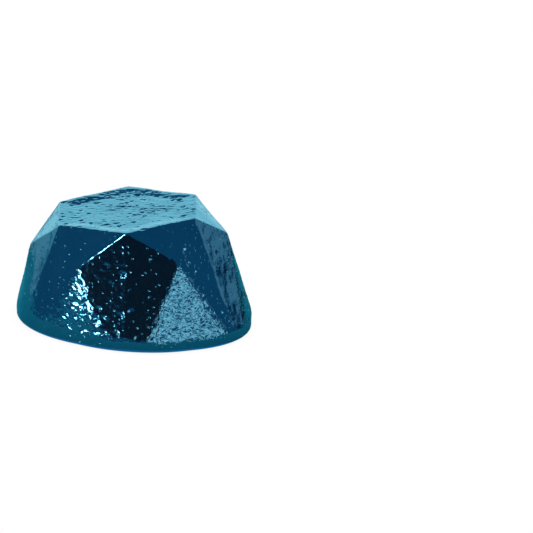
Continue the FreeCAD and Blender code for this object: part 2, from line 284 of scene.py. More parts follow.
def foot_reach(size, azimuth):
    """How far out the foot reaches in one direction: corner + arm cos(off)."""
    off = (azimuth + STEP / 2) % STEP - STEP / 2
    arm = (size["foot_apothem"] - size["foot_corner"]) / math.cos(STEP / 2)
    return size["foot_corner"] + arm * np.cos(off)


def touch_foot(size, corner, azimuth):
    """Normal and distance of the plane through a corner that just touches the foot."""
    level = outward(azimuth)
    fall = corner[2] - size["foot_height"]
    out = foot_reach(size, azimuth) - corner @ level
    normal = (level * fall + np.array([0.0, 0.0, out])) / math.hypot(fall, out)
    return normal, normal @ corner


def half_kite(size, corner, shoulder, inner, outer):
    """The azimuth at which such a plane also meets a shoulder point, by halving."""
    for _ in range(40):
        middle = (inner + outer) / 2
        normal, distance = touch_foot(size, corner, middle)
        inner, outer = (inner, middle) if normal @ shoulder > distance else (middle, outer)
    return inner


def gem_planes(size):
    """Outward normals and distances from the origin of all the facets' planes.

    The table and the six star facets lean with the gem. Every other plane goes through one
    upper corner of the gem and just touches the foot at an azimuth: one for the ridge of each
    kite, two for its halves, which also meet the two shoulder points, and a fan of planes for
    each bowed lower facet.
    """
    lean = lean_matrix(size)
    drop = size["table_height"] - size["shoulder_height"]
    spread = size["shoulder_radius"] - size["table_radius"] * math.cos(STEP / 2)
    tilt = np.array([drop, spread]) / math.hypot(drop, spread)
    to_star = tilt @ [size["shoulder_radius"], size["shoulder_height"]]
    planes = [(lean @ np.array([0.0, 0.0, 1.0]), size["table_height"])]
    for index in range(FACETS):
        level = outward(STEP * (index + 0.5))
        planes.append((lean @ (level * tilt[0] + np.array([0.0, 0.0, tilt[1]])), to_star))

    def shoulder_at(azimuth):
        level = outward(azimuth) * size["shoulder_radius"]
        return lean @ (level + [0, 0, size["shoulder_height"]])

    for azimuth in STEP * np.arange(FACETS):
        corner = lean @ (outward(azimuth) * size["table_radius"] + [0, 0, size["table_height"]])
        planes.append(touch_foot(size, corner, azimuth))
        for outer in (azimuth - STEP / 2, azimuth + STEP / 2):
            turned = half_kite(size, corner, shoulder_at(outer), azimuth, outer)
            planes.append(touch_foot(size, corner, turned))
        shoulder = shoulder_at(azimuth + STEP / 2)
        for turn in np.radians(np.linspace(-FAN_SPREAD, FAN_SPREAD, FANS)):
            planes.append(touch_foot(size, shoulder, azimuth + STEP / 2 + turn))
    normals, distances = zip(*planes)
    return np.array(normals), np.array(distances)


def lower_share(size, points):
    """1 on the bowed lower facets and 0 elsewhere: whether a plane of a fan lies outermost."""
    normals, distances = gem_planes(size)
    outermost = (points @ normals.T - distances).argmax(axis=-1)
    past_stars = outermost - 1 - FACETS
    is_lower = (past_stars >= 0) & (past_stars % PLANES_PER_CORNER >= KITE_PLANES)
    return soften((is_lower & (foot_distance(size, points) < -0.02)).astype(float), 3)


def foot_distance(size, points):
    """Signed distance to the foot: a hexagon grown by its corner radius, stood up.

    The hexagon's distance is taken in one folded sector. The lower edge is the usual rounded
    edge between that distance and the floor's: hypot of the two, less the radius.
    """
    apothem = size["foot_apothem"] - size["foot_corner"]
    azimuth = np.arctan2(points[..., 0], -points[..., 1])
    reach = np.hypot(points[..., 0], points[..., 1])
    off = azimuth % STEP - STEP / 2
    out = reach * np.cos(off) - apothem
    along = np.abs(reach * np.sin(off)) - apothem * math.tan(STEP / 2)
    side = np.where(along > 0, np.hypot(out, along), out) - size["foot_corner"]
    edge = size["foot_round"]
    across, under = side + edge, edge - points[..., 2]
    inside = np.minimum(np.maximum(across, under), 0.0)
    return inside + np.hypot(np.maximum(across, 0.0), np.maximum(under, 0.0)) - edge


def soft_maximum(values, ease):
    """Largest value with its corners eased: ease * log(sum(exp(value / ease)))."""
    highest = values.max(axis=-1, keepdims=True)
    return highest[..., 0] + ease * np.log(np.exp((values - highest) / ease).sum(axis=-1))


def gem_distance(size, planes, points):
    """Soft maximum of the distances to all the facets, then of that and the foot's."""
    normals, distances = planes
    gem = soft_maximum(points @ normals.T - distances, size["edge_ease"])
    foot = foot_distance(size, points)
    return soft_maximum(np.stack([gem, foot], axis=-1), size["foot_ease"])


def along_rays(size, planes, azimuth, last, share):
    """Points of the gem on rays that swing from straight up (0) to the last angle (1).

    The distance along a ray is found by Newton steps on the gem's distance field.
    """
    swing = share[:, None] * last[None, :]
    ray = outward(azimuth)[None, :, :] * np.sin(swing)[..., None]
    ray = ray + np.cos(swing)[..., None] * np.array([0.0, 0.0, 1.0])
    core = np.array([0.0, 0.0, CORE])
    reach = np.full(swing.shape, size["shoulder_radius"])
    step = 0.02
    for _ in range(9):
        here = gem_distance(size, planes, core + ray * reach[..., None])
        back = gem_distance(size, planes, core + ray * (reach - step)[..., None])
        reach = reach - here / np.maximum((here - back) / step, 0.15)
    return core + ray * reach[..., None]


def gem_skin(size, azimuth):
    """The undamaged outside, from the middle of the table down to the floor, in mm.

    Each point lies on a ray from a core point on the axis. The rays of a column swing from
    straight up to the foot's lower edge, in steps that give even spacing on the mean profile,
    which is taken from every twelfth column.
    """
    planes = gem_planes(size)
    floor = foot_reach_at(size, azimuth) - size["foot_round"]
    last = math.pi / 2 + np.arctan2(CORE, floor)
    trial = np.linspace(0.0, 1.0, 240)
    profile = along_rays(size, planes, azimuth[::12], last[::12], trial)
    steps = np.linalg.norm(np.diff(profile, axis=0), axis=-1).mean(axis=1)
    travelled = np.concatenate([[0.0], np.cumsum(steps)])
    share = np.interp(np.linspace(0.0, travelled[-1], GEM_ROWS), travelled, trial)
    return along_rays(size, planes, azimuth, last, share)


def foot_reach_at(size, azimuth):
    """Distance from the axis to the foot's outline along a ray, by Newton steps."""
    reach = np.full(azimuth.shape, size["foot_apothem"])
    for _ in range(12):
        points = level_ring(azimuth, reach, size["foot_height"])
        reach = reach - foot_distance(size, points)
    return reach


def scatter(rows, count, density, draw):
    """Random places on a grid, more of them where the cells and the density are larger."""
    down = np.linalg.norm(np.gradient(rows, axis=0), axis=-1)
    across = np.linalg.norm(np.roll(rows, -1, axis=1) - rows, axis=-1)
    weight = (down * across * density).ravel()
    return rows.reshape(-1, 3)[draw.choice(weight.size, size=count, p=weight / weight.sum())]


def pitted(rows, centres, radii, depths):
    """Depth field of craters: a smooth bowl -(1 - q^2)^2 with a low rim round it at q = 1.2."""
    field = np.zeros(rows.shape[:2])
    flat = rows.reshape(-1, 3)
    depth = field.ravel()
    for centre, radius, deep in zip(centres, radii, depths):
        near = np.flatnonzero(np.abs(flat[:, 2] - centre[2]) < 1.7 * radius)
        share = np.linalg.norm(flat[near] - centre, axis=1) / radius
        bowl = -np.clip(1.0 - share ** 2, 0.0, None) ** 2
        rim = 0.22 * np.exp(-((share - 1.2) / 0.22) ** 2)
        depth[near] += deep * (bowl + rim)
    return field


def weather(size, rows, normals, lower):
    """How far the cast skin stands off the true facets, in mm.

    A dish in the table, a slow swell, two sizes of ripple, runs down the slopes, and pits,
    which are dense on the table and on the lower facets. A number in a sum is how much of a
    thing a facet has: on all of them, on the table and on the lower ones. All of it fades out
    at the floor, so that the foot stays flat.
    """
    lean = lean_matrix(size)
    upright = rows @ lean
    table = smooth(0.93, 0.985, normals @ lean[:, 2])
    sides = np.stack([upright @ outward(STEP * (index + 0.5)) for index in range(FACETS)])
    to_edge = size["table_radius"] * math.cos(STEP / 2) - sides.max(axis=0)
    ripple = size["ripple"]
    height = -size["table_dish"] * table * smooth(0.6, 4.5, to_edge)
    height += size["swell"] * waves(rows, 11.0, seed=3)
    height += ripple * waves(rows, 3.4, seed=5) * (0.5 + 0.5 * table + 0.5 * lower)
    height += ripple * waves(rows, 1.4, seed=8, count=40) * (0.15 + 0.8 * table + 1.1 * lower)
    runs = waves(rows, 1.5, seed=9, count=40, stretch=(1.0, 1.0, 5.0))
    height += 0.3 * ripple * runs * (1.0 - table)
    above_foot = smooth(1.5, 4.0, rows[..., 2])
    density = (1.5 * table + (1.0 - table) * (0.3 + 1.4 * lower)) * above_foot
    draw = np.random.default_rng(21)
    centres = scatter(rows, size["pits"], density, draw)
    radii = 0.34 + 0.7 * draw.random(len(centres)) ** 4
    depths = size["pit_depth"] * (0.25 + 0.75 * draw.random(len(centres))) * radii
    height += pitted(rows, centres, radii, depths)
    return height * smooth(0.15, 2.2, rows[..., 2])


def socket_rows(size, azimuth):
    """The underside, the bevelled mouth, the socket's ribbed walls and its roof, in mm.

    The underside runs straight in from the foot's edge to the mouth. A wall is a square with
    round corners, cut by the circles of eight ribs, which fade in above the mouth.
    """
    foot = foot_reach_at(size, azimuth) - size["foot_round"]
    mouth = square_reach(azimuth, size["socket_half"] + size["mouth_bevel"],
                         size["socket_corner"] + size["mouth_bevel"])
    wall = square_reach(azimuth, size["socket_half"], size["socket_corner"])
    rings = []
    for share in np.linspace(0.0, 1.0, 7)[1:]:
        reach = foot + (mouth - foot) * share
        dimple = 0.06 * waves(level_ring(azimuth, reach, 0.0), 4.0, seed=31)
        lift = np.maximum(dimple, 0.0) * math.sin(math.pi * share)
        rings.append(level_ring(azimuth, reach, lift))
    rings.append(level_ring(azimuth, wall, size["mouth_bevel"]))

    ray = outward(azimuth)[..., :2]
    centre = size["rib_crest"] + size["rib_round"]
    ribbed = wall.copy()
    for quarter in range(4):
        face, along = outward(quarter * math.pi / 2)[:2], outward((quarter + 1) * math.pi / 2)[:2]
        for side in (-1, 1):
            middle = face * centre + along * side * size["rib_offset"]
            toward = ray @ middle
            inside = toward ** 2 - middle @ middle + size["rib_round"] ** 2
            hit = toward - np.sqrt(np.maximum(inside, 0.0))
            ribbed = np.where((inside > 0) & (toward > 0), np.minimum(ribbed, hit), ribbed)
    heights = np.concatenate([[1.2, size["rib_start"]],
                              np.linspace(size["rib_start"] + 0.7, size["socket_depth"], 16)])
    for height in heights:
        share = smooth(size["rib_start"] - 0.1, size["rib_start"] + 0.7, height)
        rings.append(level_ring(azimuth, wall + (ribbed - wall) * share, height))
    for share in (0.97, 0.75, 0.5, 0.25, 0.0):
        rings.append(level_ring(azimuth, wall * share, size["socket_depth"]))
    return np.stack(rings)


def build_holder(sizes, material):
    """The weathered gem outside and the ribbed socket inside, as one closed surface.

    The crinkle is strongest on the lower facets to the right of the middle.
    """
    size = in_mm(sizes)
    azimuth = 2 * math.pi * np.arange(GEM_COLUMNS) / GEM_COLUMNS
    skin = gem_skin(size, azimuth)
    skin[0] = skin[0].mean(axis=0)
    normals = grid_normals(skin)
    lower = lower_share(size, skin)
    skin = skin + normals * weather(size, skin, normals, lower)[..., None]
    skin[..., 2] = np.maximum(skin[..., 2], 0.0)
    skin[-1, :, 2] = 0.0
    inside = socket_rows(size, azimuth)
    holder = closed_grid("cast_holder", np.concatenate([skin, inside]), material)
    on_right = smooth(-8.0, 8.0, skin[..., 0])
    crinkled = lower * (0.3 + 0.7 * on_right)
    store(holder, CRINKLE, np.concatenate([crinkled, np.zeros(inside.shape[:2])]))
    return holder


# ---------------------------------------------------------------- chalk and wrapper


CHALK_COLUMNS = 320
WRAPPER_COLUMNS = 360


def build_chalk(sizes, material):
    """A pressed cube with a round cup in its lower face, soft edges, grain and small chips.

    The profile runs from the middle of the inner end, over its edge, down the walls, round the
    lower edge and up into the cup, whose section is an arc.
    """
    size = in_mm(sizes)
    low, high = (np.array(corner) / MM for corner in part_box("chalk_cube"))
    half, top = (high[0] - low[0]) / 2, high[2]
    azimuth = 2 * math.pi * np.arange(CHALK_COLUMNS) / CHALK_COLUMNS
    corner = size["corner"]
    wall = square_reach(azimuth, half, corner)
    rim = np.full(azimuth.shape, size["cup_rim"])
    quarter = np.radians([22.5, 45.0, 67.5, 90.0])
    rings = [level_ring(azimuth, (wall - corner) * share, top)
             for share in np.linspace(0.0, 1.0, 24)]
    for turn in quarter:
        rings.append(level_ring(azimuth, wall - corner * (1 - math.sin(turn)),
                                top - corner * (1 - math.cos(turn))))
    for height in np.linspace(top - corner, corner, 62)[1:]:
        rings.append(level_ring(azimuth, wall, height))
    for turn in quarter:
        rings.append(level_ring(azimuth, wall - corner * (1 - math.cos(turn)),
                                corner * (1 - math.sin(turn))))
    for share in np.linspace(0.0, 1.0, 14)[1:]:
        rings.append(level_ring(azimuth, (wall - corner) * (1 - share) + rim * share, 0.0))
    radius = (size["cup_rim"] ** 2 + size["cup_depth"] ** 2) / (2 * size["cup_depth"])
    for share in np.linspace(1.0, 0.0, 26)[1:]:
        rise = math.sqrt(radius ** 2 - (size["cup_rim"] * share) ** 2) - radius
        rings.append(level_ring(azimuth, rim * share, rise + size["cup_depth"]))
    rows = np.stack(rings)
    rows[-1] = rows[-1].mean(axis=0)
    normals = grid_normals(rows)
    normals[-1] = [0.0, 0.0, -1.0]
    fine, coarse = waves(rows, 0.9, seed=41, count=48), waves(rows, 2.3, seed=42)
    grain = size["grain"] * (0.6 * fine + 0.6 * coarse)
    lower = smooth(2.2, 0.2, rows[..., 2])
    near_edge = smooth(half - 1.3, half - 0.1, np.abs(rows[..., :2]).max(axis=-1)) * lower
    chips = size["chip"] * near_edge * smooth(0.25, 0.75, waves(rows, 2.6, seed=43, count=40))
    reach = np.hypot(rows[..., 0], rows[..., 1])
    scuffed = smooth(size["cup_rim"] + 0.4, size["cup_rim"] - 2.0, reach) * lower
    turned = 0.05 * waves(rows, 1.3, seed=44, count=40, stretch=(4.0, 1.0, 1.0)) * scuffed
    off = np.where(rows[..., 2] > top - 3.0, np.minimum(grain, 0.0), grain) - chips + turned
    rows = rows + normals * off[..., None]
    rows[..., 2] = np.clip(rows[..., 2], 0.0, top)
    rows[-1] = rows[-1].mean(axis=0)
    rows[0] = rows[0].mean(axis=0)
    return closed_grid("pressed_chalk", rows, material)


def build_wrapper(sizes, material):
    """A thin shell of paper over four sides and the inner end of the cube.

    The profile runs from the middle of the end outside, over the fold, down to the cut edge,
    round it and back up inside. The lap is one paper thicker on the front side, the end
    carries the four flaps of an envelope fold, and the cut edge wanders a little.
    """
    size = in_mm(sizes)
    low, high = (np.array(corner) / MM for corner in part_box("paper_wrapper"))
    half, top, bottom = high[0], high[2], low[2]
    azimuth = 2 * math.pi * np.arange(WRAPPER_COLUMNS) / WRAPPER_COLUMNS
    paper, fold = size["thickness"], size["fold"]
    outer = square_reach(azimuth, half, fold)
    inner = square_reach(azimuth, half - paper, fold - paper)
    face = level_ring(azimuth, outer, 0.0)
    lap = smooth(size["lap"] / 2 + 0.12, size["lap"] / 2 - 0.12, np.abs(face[:, 0]))
    lap = lap * (face[:, 1] < 0) * paper
    cut_edge = bottom + np.abs(0.12 * waves(face, 5.0, seed=51))
    rings = [level_ring(azimuth, (outer - fold) * share, top) for share in np.linspace(0, 1, 26)]
    for turn in np.radians([30.0, 60.0, 90.0]):
        rings.append(level_ring(azimuth, outer - fold * (1 - math.sin(turn)),
                                top - fold * (1 - math.cos(turn))))
    for share in np.linspace(0.0, 1.0, 40)[1:]:
        rings.append(level_ring(azimuth, outer, (top - fold) * (1 - share) + cut_edge * share))
    outside = np.stack(rings)
    push = 0.02 * waves(outside, 3.2, seed=52, count=40) - 0.02
    wide = np.abs(outside[..., :2])
    creased = 0.035 * smooth(0.5, 0.0, np.abs(wide[..., 0] - wide[..., 1]))
    flap = 0.05 * (outside[..., 0] ** 2 > outside[..., 1] ** 2)
    on_end = outside[..., 2] > top - 1e-6
    normals = grid_normals(outside)
    push = np.where(on_end, push - creased - flap * smooth(0.3, 1.5, wide.max(axis=-1)), push)
    outside = outside + normals * push[..., None]
    outside += (outward(0.0) * lap[:, None]) * (outside[..., 2] < top - fold / 2)[..., None]
    inside = [level_ring(azimuth, inner, cut_edge)]
    for height in (bottom + 2.0, top / 2, top - fold):
        inside.append(level_ring(azimuth, inner, height))
    for share in (1.0, 0.5, 0.0):
        inside.append(level_ring(azimuth, (inner - fold / 2) * share, top - paper - 0.06))
    rows = np.concatenate([outside, np.stack(inside)])
    rows[0] = rows[0].mean(axis=0)
    return closed_grid("folded_wrapper", rows, material)


# ---------------------------------------------------------------- materials


def add_node(tree, kind, inputs=None, **settings):
    """Add a node, give it its settings, then set or link its inputs."""
    node = tree.nodes.new(kind)
    for key, value in settings.items():
        setattr(node, key, value)
    for key, value in (inputs or {}).items():
        if isinstance(value, bpy.types.NodeSocket):
            tree.links.new(value, node.inputs[key])
        else:
            node.inputs[key].default_value = value
    return node


def new_material(name):
    """An empty node material with its output, its shader and the piece's own coordinates."""
    material = bpy.data.materials.new(name)
    material.use_nodes = True
    tree = material.node_tree
    tree.nodes.clear()
    place = add_node(tree, "ShaderNodeTexCoord").outputs["Object"]
    shader = add_node(tree, "ShaderNodeBsdfPrincipled")
    add_node(tree, "ShaderNodeOutputMaterial", {"Surface": shader.outputs["BSDF"]})
    return material, tree, shader, place


def per_metre(millimetres):
    """A texture scale that gives features of this size on coordinates in metres."""
    return 1.0 / (millimetres * MM)


def pearl_resin(finishes):
    """Cast polyester resin with fine pearl pigment, taken glossy from an open mould.

    The mica flakes give a broad teal sheen that goes nearly black where nothing bright is
    reflected, and the clear skin over them gives sharp white glints. Air and mould dust leave
    pits and a fine orange peel.
    """
    material, tree, shader, place = new_material("pearl_cast_resin")
    cloud = add_node(tree, "ShaderNodeTexNoise", {
        "Vector": place, "Scale": per_metre(9.0), "Detail": 3.0, "Roughness": 0.55})
    tone = add_node(tree, "ShaderNodeMix", {
        0: cloud.outputs["Fac"], 6: (*finishes.resin_deep, 1.0), 7: (*finishes.resin, 1.0)},
        data_type="RGBA")
    peel = add_node(tree, "ShaderNodeTexNoise", {
        "Vector": place, "Scale": per_metre(1.3), "Detail": 4.0, "Roughness": 0.6})
    gloss = add_node(tree, "ShaderNodeMapRange", {
        "Value": peel.outputs["Fac"], "From Min": 0.3, "From Max": 0.7,
        "To Min": 0.05, "To Max": 0.1})
    pinhole = add_node(tree, "ShaderNodeTexVoronoi", {
        "Vector": place, "Scale": per_metre(1.1), "Randomness": 1.0})
    some = add_node(tree, "ShaderNodeSeparateColor", {"Color": pinhole.outputs["Color"]})
    open_hole = add_node(tree, "ShaderNodeMath", {0: some.outputs["Red"], 1: 0.5},
                         operation="GREATER_THAN")
    bowl = add_node(tree, "ShaderNodeMapRange", {
        "Value": pinhole.outputs["Distance"], "From Min": 0.05, "From Max": 0.27,
        "To Min": -1.0, "To Max": 0.0}, interpolation_type="SMOOTHSTEP")
    holes = add_node(tree, "ShaderNodeMath", {
        0: bowl.outputs["Result"], 1: open_hole.outputs["Value"]}, operation="MULTIPLY")
    crinkle = add_node(tree, "ShaderNodeAttribute", attribute_name=CRINKLE)
    wrinkles = add_node(tree, "ShaderNodeTexNoise", {
        "Vector": place, "Scale": per_metre(0.9), "Detail": 2.0, "Roughness": 0.5,
        "Distortion": 0.6})
    crinkled = add_node(tree, "ShaderNodeMath", {
        0: wrinkles.outputs["Fac"], 1: crinkle.outputs["Fac"]}, operation="MULTIPLY")
    skin_height = add_node(tree, "ShaderNodeMath", {
        0: crinkled.outputs["Value"], 1: 6.0, 2: peel.outputs["Fac"]},
        operation="MULTIPLY_ADD")
    rough_skin = add_node(tree, "ShaderNodeBump", {
        "Strength": 1.0, "Distance": 0.03 * MM, "Height": skin_height.outputs["Value"]})
    skin = add_node(tree, "ShaderNodeBump", {
        "Strength": 1.0, "Distance": 0.09 * MM, "Height": holes.outputs["Value"],
        "Normal": rough_skin.outputs["Normal"]})
    for key, value in {"Base Color": tone.outputs[2], "Roughness": gloss.outputs["Result"],
                       "Normal": skin.outputs["Normal"],
                       "Coat Normal": skin.outputs["Normal"]}.items():
        tree.links.new(value, shader.inputs[key])
    shader.inputs["Metallic"].default_value = 0.97
    shader.inputs["IOR"].default_value = 1.55
    shader.inputs["Specular Tint"].default_value = (0.5, 0.97, 1.0, 1.0)
    shader.inputs["Coat Weight"].default_value = 0.3
    shader.inputs["Coat Roughness"].default_value = 0.05
    shader.inputs["Coat IOR"].default_value = 1.5
    return material


def pressed_chalk(finishes):
    """Silica and abrasive powder pressed in a mould: matt, grainy, dusty where it is rubbed."""
    material, tree, shader, place = new_material("pressed_chalk_powder")
    mottle = add_node(tree, "ShaderNodeTexNoise", {
        "Vector": place, "Scale": per_metre(3.0), "Detail": 6.0, "Roughness": 0.65})
    dusty = add_node(tree, "ShaderNodeMapRange", {
        "Value": mottle.outputs["Fac"], "From Min": 0.42, "From Max": 0.72})
    tone = add_node(tree, "ShaderNodeMix", {
        0: dusty.outputs["Result"], 6: (*finishes.chalk, 1.0), 7: (*finishes.chalk_dust, 1.0)},
        data_type="RGBA")
    grit = add_node(tree, "ShaderNodeTexNoise", {
        "Vector": place, "Scale": per_metre(0.25), "Detail": 5.0, "Roughness": 0.7})
    skin = add_node(tree, "ShaderNodeBump", {
        "Strength": 1.0, "Distance": 0.05 * MM, "Height": grit.outputs["Fac"]})
    tree.links.new(tone.outputs[2], shader.inputs["Base Color"])
    tree.links.new(skin.outputs["Normal"], shader.inputs["Normal"])
    shader.inputs["Roughness"].default_value = 0.95
    shader.inputs["Diffuse Roughness"].default_value = 0.6
    shader.inputs["Specular IOR Level"].default_value = 0.2
    return material


def thin_paper(finishes):
    """Uncoated sulphite paper: matt and fibrous, with chalk rubbed into it near the cut edge."""
    material, tree, shader, place = new_material("uncoated_thin_paper")
    stretched = add_node(tree, "ShaderNodeMapping", {
        "Vector": place, "Scale": (1.0, 1.0, 0.35)})
    fibres = add_node(tree, "ShaderNodeTexNoise", {
        "Vector": stretched.outputs["Vector"], "Scale": per_metre(0.3), "Detail": 4.0})
    height = add_node(tree, "ShaderNodeSeparateXYZ", {"Vector": place})
    smear = add_node(tree, "ShaderNodeTexNoise", {
        "Vector": place, "Scale": per_metre(4.0), "Detail": 5.0, "Roughness": 0.6})
    low = add_node(tree, "ShaderNodeMapRange", {
        "Value": height.outputs["Z"], "From Min": 1.5 * MM, "From Max": 9.0 * MM,
        "To Min": 0.75, "To Max": 0.12})
    share = add_node(tree, "ShaderNodeMath", {
        0: low.outputs["Result"], 1: smear.outputs["Fac"]}, operation="MULTIPLY")
    tone = add_node(tree, "ShaderNodeMix", {
        0: share.outputs["Value"], 6: (*finishes.paper, 1.0), 7: (*finishes.paper_dust, 1.0)},
        data_type="RGBA")
    skin = add_node(tree, "ShaderNodeBump", {
        "Strength": 1.0, "Distance": 0.02 * MM, "Height": fibres.outputs["Fac"]})
    tree.links.new(tone.outputs[2], shader.inputs["Base Color"])
    tree.links.new(skin.outputs["Normal"], shader.inputs["Normal"])
    shader.inputs["Roughness"].default_value = 0.85
    shader.inputs["Specular IOR Level"].default_value = 0.3
    return material


# ---------------------------------------------------------------- stage


CAMERA_AZIMUTH = math.radians(-1.25)
CAMERA_ELEVATION = math.radians(16.25)
CAMERA_ROLL = math.radians(3.65)
CAMERA_DISTANCE = 3.0
# the object stands left of the middle of the picture, so the camera aims past its right side
AIM_RIGHT = 29.65 * MM
AIM_UP = 14.03 * MM
FRAME_WIDTH = 122.5 * MM
LIGHT_DISTANCE = 0.6
CARD_DISTANCE = 0.5
TABLE_HALF = 0.45
TABLE_LEVEL = -0.02 * MM

# name, azimuth, elevation, width and height in degrees, radiance
SOFTBOXES = (
    # seen in the table, and in the facets along both outlines
    ("back_sweep", 180.0, 11.0, 68.0, 36.0, 0.88),
    # seen in the lower facet to the right of the front kite
    ("right_box", 57.0, 11.0, 80.0, 14.0, 1.35),
    ("right_wedge", 24.0, 19.0, 16.0, 10.0, 1.2),
    # white glints along the front kite's left edges and to the left of it
    ("left_strip", -35.5, 14.6, 9.0, 1.6, 70.0),
    ("low_strip", -61.0, 11.0, 16.0, 2.0, 55.0),
    ("upper_strip", -43.0, 44.0, 16.0, 4.0, 36.0),
    # a grey sheen on the kites at the right and at the left
    ("right_grey", 121.0, 18.0, 18.0, 16.0, 0.3),
    ("left_rim", -134.0, 20.0, 22.0, 40.0, 0.4),
    ("right_rim", 134.0, 38.0, 24.0, 24.0, 0.6),
)

# black cards: name, azimuth, elevation, width and height in degrees
CARDS = (
    ("front_card", -7.0, 38.0, 42.0, 47.0),
    ("side_card", 128.0, 1.0, 24.0, 15.0),
)


def direction(azimuth, elevation):
    """A unit vector from the object at an azimuth and an elevation, in radians."""
    level = outward(azimuth) * math.cos(elevation)
    return Vector((level[0], level[1], math.sin(elevation)))


def aimed(back):
    """The turn that looks back along a direction, with +Z up."""
    return (-back).to_track_quat("-Z", "Y")


def add_softbox(name, azimuth, elevation, width, height, radiance):
    """A rectangular softbox that faces the object. Its power gives the radiance asked for."""
    back = direction(math.radians(azimuth), math.radians(elevation))
    data = bpy.data.lights.new(name, "AREA")
    data.shape = "RECTANGLE"
    data.size = 2 * LIGHT_DISTANCE * math.tan(math.radians(width) / 2)
    data.size_y = 2 * LIGHT_DISTANCE * math.tan(math.radians(height) / 2)
    data.energy = radiance * math.pi * data.size * data.size_y
    light = bpy.data.objects.new(name, data)
    light.location = back * LIGHT_DISTANCE
    light.rotation_mode = "QUATERNION"
    light.rotation_quaternion = aimed(back)
    light.visible_camera = False
    bpy.context.scene.collection.objects.link(light)


def panel_mesh(name, corners, material):
    """A flat four-sided stage piece."""
    mesh = bpy.data.meshes.new(name)
    mesh.from_pydata([tuple(corner) for corner in corners], [], [(0, 1, 2, 3)])
    mesh.materials.append(material)
    panel = bpy.data.objects.new(name, mesh)
    bpy.context.scene.collection.objects.link(panel)
    return panel


def add_card(name, azimuth, elevation, width, height):
    """A nearly black card that keeps light off one side. The camera doesn't see it."""
    material, _, shader, _ = new_material("black_felt_card")
    shader.inputs["Base Color"].default_value = (*srgb("#06183A"), 1.0)
    shader.inputs["Roughness"].default_value = 1.0
    back = direction(math.radians(azimuth), math.radians(elevation))
    turn = aimed(back)
    across = turn @ Vector((1, 0, 0)) * CARD_DISTANCE * math.tan(math.radians(width) / 2)
    up = turn @ Vector((0, 1, 0)) * CARD_DISTANCE * math.tan(math.radians(height) / 2)
    middle = back * CARD_DISTANCE
    card = panel_mesh(name, [middle - across - up, middle + across - up,
                             middle + across + up, middle - across + up], material)
    card.visible_camera = False


def add_floor():
    """A white table. Seen from above it is white with a soft contact shade.

    Glossy skins reflect it as a cool, shaded board, and matt ones are lit by a pale one. From
    below it isn't there, nor for a ray that has only just left a face that stands on it, nor
    in the middle, which the cube's cup covers.
    """
    material = bpy.data.materials.new("white_board")
    material.use_nodes = True
    tree = material.node_tree
    tree.nodes.clear()
    ray = add_node(tree, "ShaderNodeLightPath")
    side = add_node(tree, "ShaderNodeNewGeometry")
    shade = add_node(tree, "ShaderNodeAmbientOcclusion", {"Distance": 6.0 * MM}, samples=16)
    contact = add_node(tree, "ShaderNodeMapRange", {
        "Value": shade.outputs["AO"], "From Min": 0.2, "From Max": 0.75,
        "To Min": 0.92, "To Max": 1.0})
    seen = add_node(tree, "ShaderNodeEmission", {"Strength": contact.outputs["Result"]})
    tone = add_node(tree, "ShaderNodeMix", {
        0: ray.outputs["Is Glossy Ray"], 6: (*srgb("#D8DDE0"), 1.0),
        7: (*srgb("#3CC4DE"), 1.0)}, data_type="RGBA")
    board = add_node(tree, "ShaderNodeBsdfDiffuse", {"Color": tone.outputs[2]})
    clear = add_node(tree, "ShaderNodeBsdfTransparent")
    just_left = add_node(tree, "ShaderNodeMath", {0: ray.outputs["Ray Length"], 1: 1.0 * MM},
                         operation="LESS_THAN")
    from_middle = add_node(tree, "ShaderNodeVectorMath", {0: side.outputs["Position"]},
                           operation="LENGTH")
    under_cup = add_node(tree, "ShaderNodeMath", {
        0: from_middle.outputs["Value"], 1: 5.0 * MM}, operation="LESS_THAN")
    too_near = add_node(tree, "ShaderNodeMath", {
        0: just_left.outputs["Value"], 1: under_cup.outputs["Value"]}, operation="MAXIMUM")
    absent = add_node(tree, "ShaderNodeMath", {
        0: side.outputs["Backfacing"], 1: too_near.outputs["Value"]}, operation="MAXIMUM")
    above = add_node(tree, "ShaderNodeMixShader", {
        0: ray.outputs["Is Camera Ray"], 1: board.outputs["BSDF"],
        2: seen.outputs["Emission"]})
    whole = add_node(tree, "ShaderNodeMixShader", {
        0: absent.outputs["Value"], 1: above.outputs["Shader"], 2: clear.outputs["BSDF"]})
    add_node(tree, "ShaderNodeOutputMaterial", {"Surface": whole.outputs["Shader"]})
    panel_mesh("white_table", [(x * TABLE_HALF, y * TABLE_HALF, TABLE_LEVEL)
                               for x, y in ((-1, -1), (1, -1), (1, 1), (-1, 1))], material)


